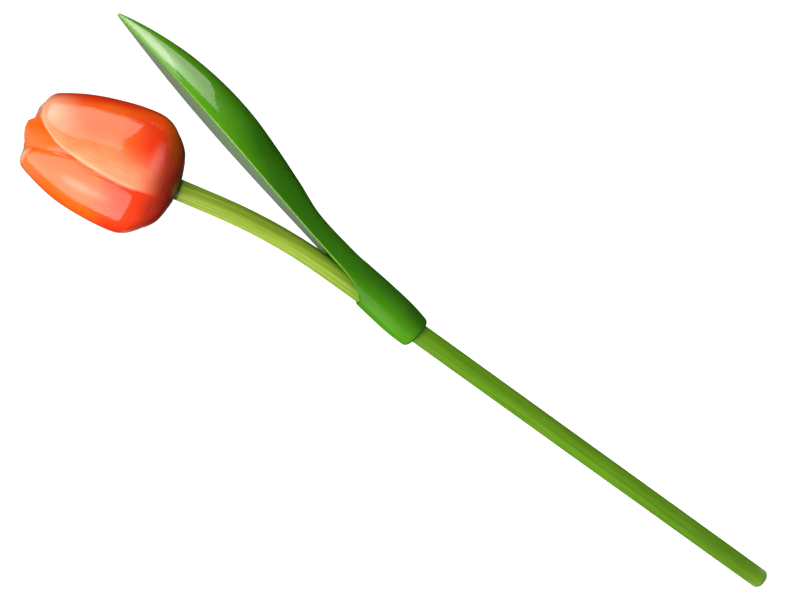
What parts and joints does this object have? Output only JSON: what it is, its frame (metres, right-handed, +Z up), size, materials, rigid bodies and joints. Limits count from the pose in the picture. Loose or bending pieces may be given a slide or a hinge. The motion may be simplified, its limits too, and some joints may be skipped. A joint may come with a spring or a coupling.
{
  "type": "wooden tulip",
  "caption": "Carved wooden tulip: a petalled flower head on a bent round stem, with a half-round pointed leaf whose bored collar slides on the stem.",
  "frame": {"origin": "centre of the cut foot face of the stem", "axes": "+Z up along the straight part of the stem; the flower head leans to -X and the leaf to +X"},
  "size_m": [0.0725, 0.047, 0.3422],
  "materials": {
    "orange_lacquer": "orange and red paint under clear gloss lacquer",
    "stained_stem": "green stain with the grain showing, satin lacquer",
    "green_lacquer": "green gloss lacquer"
  },
  "bodies": {
    "flower": {"stem": "stained_stem", "flower_head": "orange_lacquer"},
    "leaf": {"leaf": "green_lacquer"}
  },
  "joints": [
    {"name": "leaf_slide", "type": "slide", "parent": "flower", "child": "leaf", "axis": [0, 0, 1], "range_m": [-0.165, 0.012]}
  ]
}
